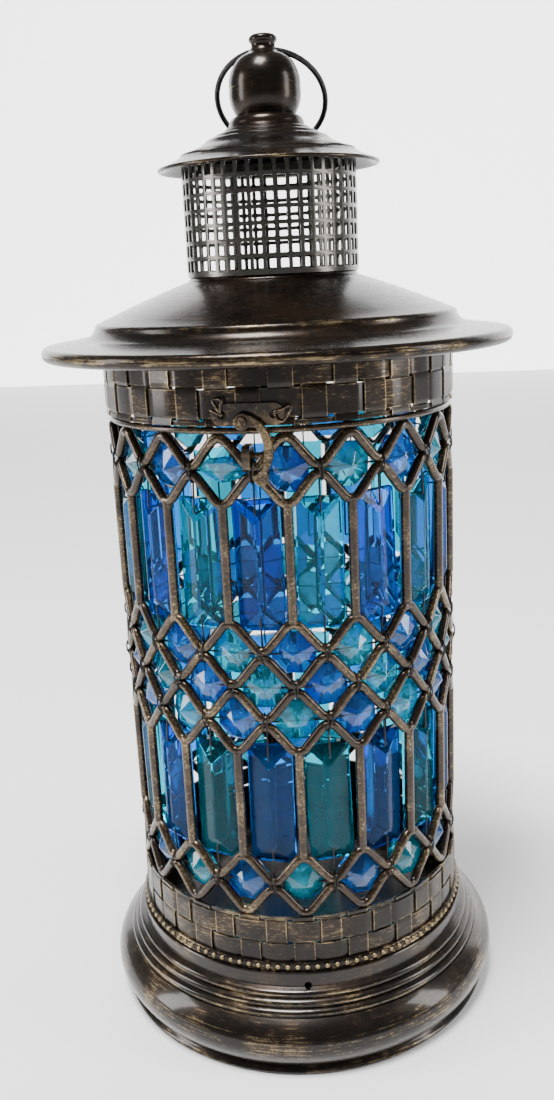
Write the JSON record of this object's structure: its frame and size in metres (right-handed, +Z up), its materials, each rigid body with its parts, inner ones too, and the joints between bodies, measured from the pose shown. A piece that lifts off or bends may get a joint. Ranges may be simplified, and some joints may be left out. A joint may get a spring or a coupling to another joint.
{
  "type": "candle lantern",
  "caption": "Round antiqued metal candle lantern with a bent-wire wall hung with blue and teal acrylic jewels, a hinged brimmed roof with pierced chimney, latch and hanging ring.",
  "frame": {"origin": "middle of the foot, on the surface it stands on", "axes": "+Z up along the lantern's axis, -Y towards the latch, +Y towards the lid hinge"},
  "size_m": [0.1546, 0.1546, 0.3274],
  "materials": {
    "antique_bronze": "antiqued, rubbed semi-gloss",
    "woven_strip": "antiqued, brushed",
    "cage_wire": "antiqued, rubbed on the crowns",
    "gilt_trim": "antiqued",
    "pewter_screen": "worn gunmetal",
    "latch_brass": "antiqued",
    "dark_wire": "satin",
    "tie_wire": "satin",
    "blue_acrylic": "clear, polished facets",
    "teal_acrylic": "clear, polished facets"
  },
  "bodies": {
    "base": {"base_shell": "antique_bronze", "floor_pan": "antique_bronze", "lower_band": "woven_strip", "trim_strip": "gilt_trim", "zigzag_wire_1": "cage_wire", "zigzag_wire_2": "cage_wire", "zigzag_wire_3": "cage_wire", "zigzag_wire_4": "cage_wire", "zigzag_wire_5": "cage_wire", "zigzag_wire_6": "cage_wire", "zigzag_wire_7": "cage_wire", "zigzag_wire_8": "cage_wire", "upper_bars": "cage_wire", "lower_bars": "cage_wire", "top_ring": "cage_wire", "prisms_upper_blue": "blue_acrylic", "prisms_upper_teal": "teal_acrylic", "prism_ties_upper": "tie_wire", "prisms_lower_blue": "blue_acrylic", "prisms_lower_teal": "teal_acrylic", "prism_ties_lower": "tie_wire", "beads_1_blue": "blue_acrylic", "beads_1_teal": "teal_acrylic", "bead_tie_1": "tie_wire", "beads_2_blue": "blue_acrylic", "beads_2_teal": "teal_acrylic", "bead_tie_2": "tie_wire", "beads_3_blue": "blue_acrylic", "beads_3_teal": "teal_acrylic", "bead_tie_3": "tie_wire", "beads_4_blue": "blue_acrylic", "beads_4_teal": "teal_acrylic", "bead_tie_4": "tie_wire", "beads_5_blue": "blue_acrylic", "beads_5_teal": "teal_acrylic", "bead_tie_5": "tie_wire", "latch_cross_bar": "cage_wire", "latch_staple": "latch_brass", "hinge_body_leaf": "antique_bronze", "hinge_pin": "dark_wire"},
    "lid": {"roof": "antique_bronze", "upper_band": "woven_strip", "chimney_screen": "pewter_screen", "cap": "antique_bronze", "finial": "antique_bronze", "finial_screw": "dark_wire", "hinge_lid_leaf": "antique_bronze", "hinge_rivets": "dark_wire", "latch_plate": "latch_brass", "latch_rivet": "latch_brass", "latch_ties": "latch_brass"},
    "hook": {"latch_hook": "latch_brass"},
    "ring": {"hanging_ring": "dark_wire"}
  },
  "joints": [
    {"name": "lid_hinge", "type": "hinge", "parent": "base", "child": "lid", "pos_m": [0, 0.0616, 0.21335], "axis": [-1, 0, 0], "range_deg": [0, 135]},
    {"name": "hook_swing", "type": "hinge", "parent": "lid", "child": "hook", "pos_m": [-0.0015, -0.0606, 0.2154], "axis": [0, -1, 0], "range_deg": [-8, 90]},
    {"name": "ring_swing", "type": "hinge", "parent": "lid", "child": "ring", "pos_m": [0, 0, 0.3229], "axis": [1, 0, 0], "range_deg": [0, 275]}
  ]
}
